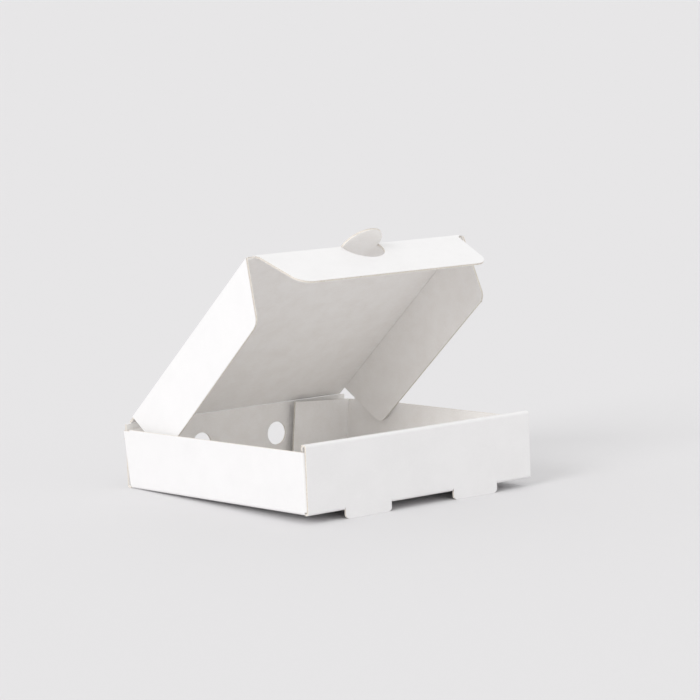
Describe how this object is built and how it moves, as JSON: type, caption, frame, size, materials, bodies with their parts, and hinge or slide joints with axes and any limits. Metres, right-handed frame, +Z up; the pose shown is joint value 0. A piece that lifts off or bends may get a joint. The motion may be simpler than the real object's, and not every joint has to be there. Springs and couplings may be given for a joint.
{
  "type": "pizza box",
  "caption": "Square corrugated board box with a lid hinged at the back, tucking flaps, a half-moon thumb tab and a rolled-over front wall on two foot tabs.",
  "frame": {"origin": "centre of the box's footprint, on the surface it stands on", "axes": "+X to the right seen from the front, +Y towards the back hinge, +Z up"},
  "size_m": [0.208, 0.2014, 0.1847],
  "materials": {
    "board": "white coated outside, plain paper inside"
  },
  "bodies": {
    "tray": {"tray": "board"},
    "lid": {"lid": "board"},
    "left_flap": {"lid_left_flap": "board"},
    "right_flap": {"lid_right_flap": "board"},
    "front_flap": {"lid_front_flap": "board"}
  },
  "joints": [
    {"name": "lid_hinge", "type": "hinge", "parent": "tray", "child": "lid", "pos_m": [0, 0.1, 0.04594], "axis": [-1, 0, 0], "range_deg": [-39.9, 70]},
    {"name": "front_flap_fold", "type": "hinge", "parent": "lid", "child": "front_flap", "pos_m": [0, -0.03843, 0.17167], "axis": [-1, 0, 0], "range_deg": [-35.92, 63.01]},
    {"name": "left_flap_fold", "type": "hinge", "parent": "lid", "child": "left_flap", "pos_m": [-0.097, 0.1, 0.04594], "axis": [0, 0.7402, -0.6723], "range_deg": [-7.19, 12.61]},
    {"name": "right_flap_fold", "type": "hinge", "parent": "lid", "child": "right_flap", "pos_m": [0.097, 0.1, 0.04594], "axis": [0, -0.7402, 0.6723], "range_deg": [-4.72, 8.27]}
  ],
  "couplings": [
    {"joint": "front_flap_fold", "follows": "lid_hinge", "ratio": 0.9},
    {"joint": "left_flap_fold", "follows": "lid_hinge", "ratio": 0.18},
    {"joint": "right_flap_fold", "follows": "lid_hinge", "ratio": 0.118}
  ]
}
